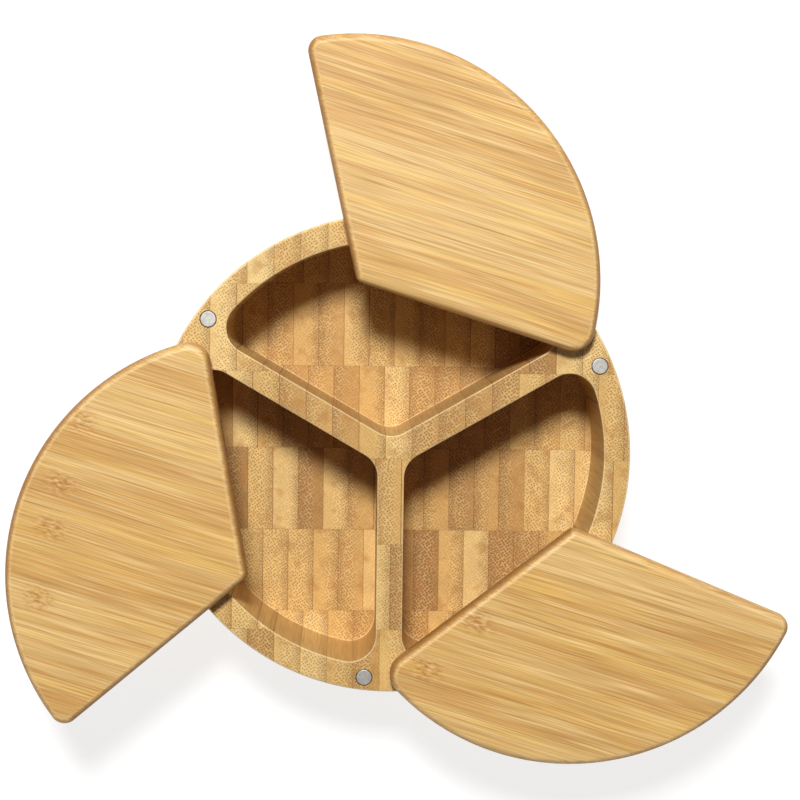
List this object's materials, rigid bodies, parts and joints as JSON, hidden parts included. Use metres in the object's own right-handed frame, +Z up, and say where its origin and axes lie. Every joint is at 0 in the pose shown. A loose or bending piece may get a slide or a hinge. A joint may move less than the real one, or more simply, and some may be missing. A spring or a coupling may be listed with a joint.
{
  "type": "three-well server with swivel lids",
  "caption": "Round end-grain bamboo server with sector wells, each closed by its own magnet-held bamboo lid that swivels on a hidden pin near the rim.",
  "frame": {"origin": "centre of the underside of the round body, on the surface that it stands on", "axes": "+Z up through the open wells; +Y from the centre towards the rear well; +X towards the right-hand well's side"},
  "size_m": [0.2472, 0.2286, 0.0494],
  "materials": {
    "body_bamboo": "end-grain bamboo blocks, oiled satin",
    "lid_bamboo": "long-grain bamboo, oiled satin",
    "pin_steel": "ground steel",
    "magnet_nickel": "bright nickel plate, lightly brushed"
  },
  "bodies": {
    "base": {"server_body": "body_bamboo", "pivot_pin_rear": "pin_steel", "pivot_pin_left": "pin_steel", "pivot_pin_right": "pin_steel", "rim_magnet_rear": "magnet_nickel", "rim_magnet_left": "magnet_nickel", "rim_magnet_right": "magnet_nickel"},
    "lid_rear": {"lid_rear": "lid_bamboo", "lid_magnet_rear": "magnet_nickel"},
    "lid_left": {"lid_left": "lid_bamboo", "lid_magnet_left": "magnet_nickel"},
    "lid_right": {"lid_right": "lid_bamboo", "lid_magnet_right": "magnet_nickel"}
  },
  "joints": [
    {"name": "lid_rear_swivel", "type": "hinge", "parent": "base", "child": "lid_rear", "pos_m": [0.05641, 0.04077, 0.0424], "axis": [0, 0, 1], "range_deg": [-47.6, 47.4]},
    {"name": "lid_left_swivel", "type": "hinge", "parent": "base", "child": "lid_left", "pos_m": [-0.06351, 0.02847, 0.0424], "axis": [0, 0, 1], "range_deg": [-45.2, 49.8]},
    {"name": "lid_right_swivel", "type": "hinge", "parent": "base", "child": "lid_right", "pos_m": [0.0071, -0.06924, 0.0424], "axis": [0, 0, 1], "range_deg": [-42.7, 52.3]}
  ]
}
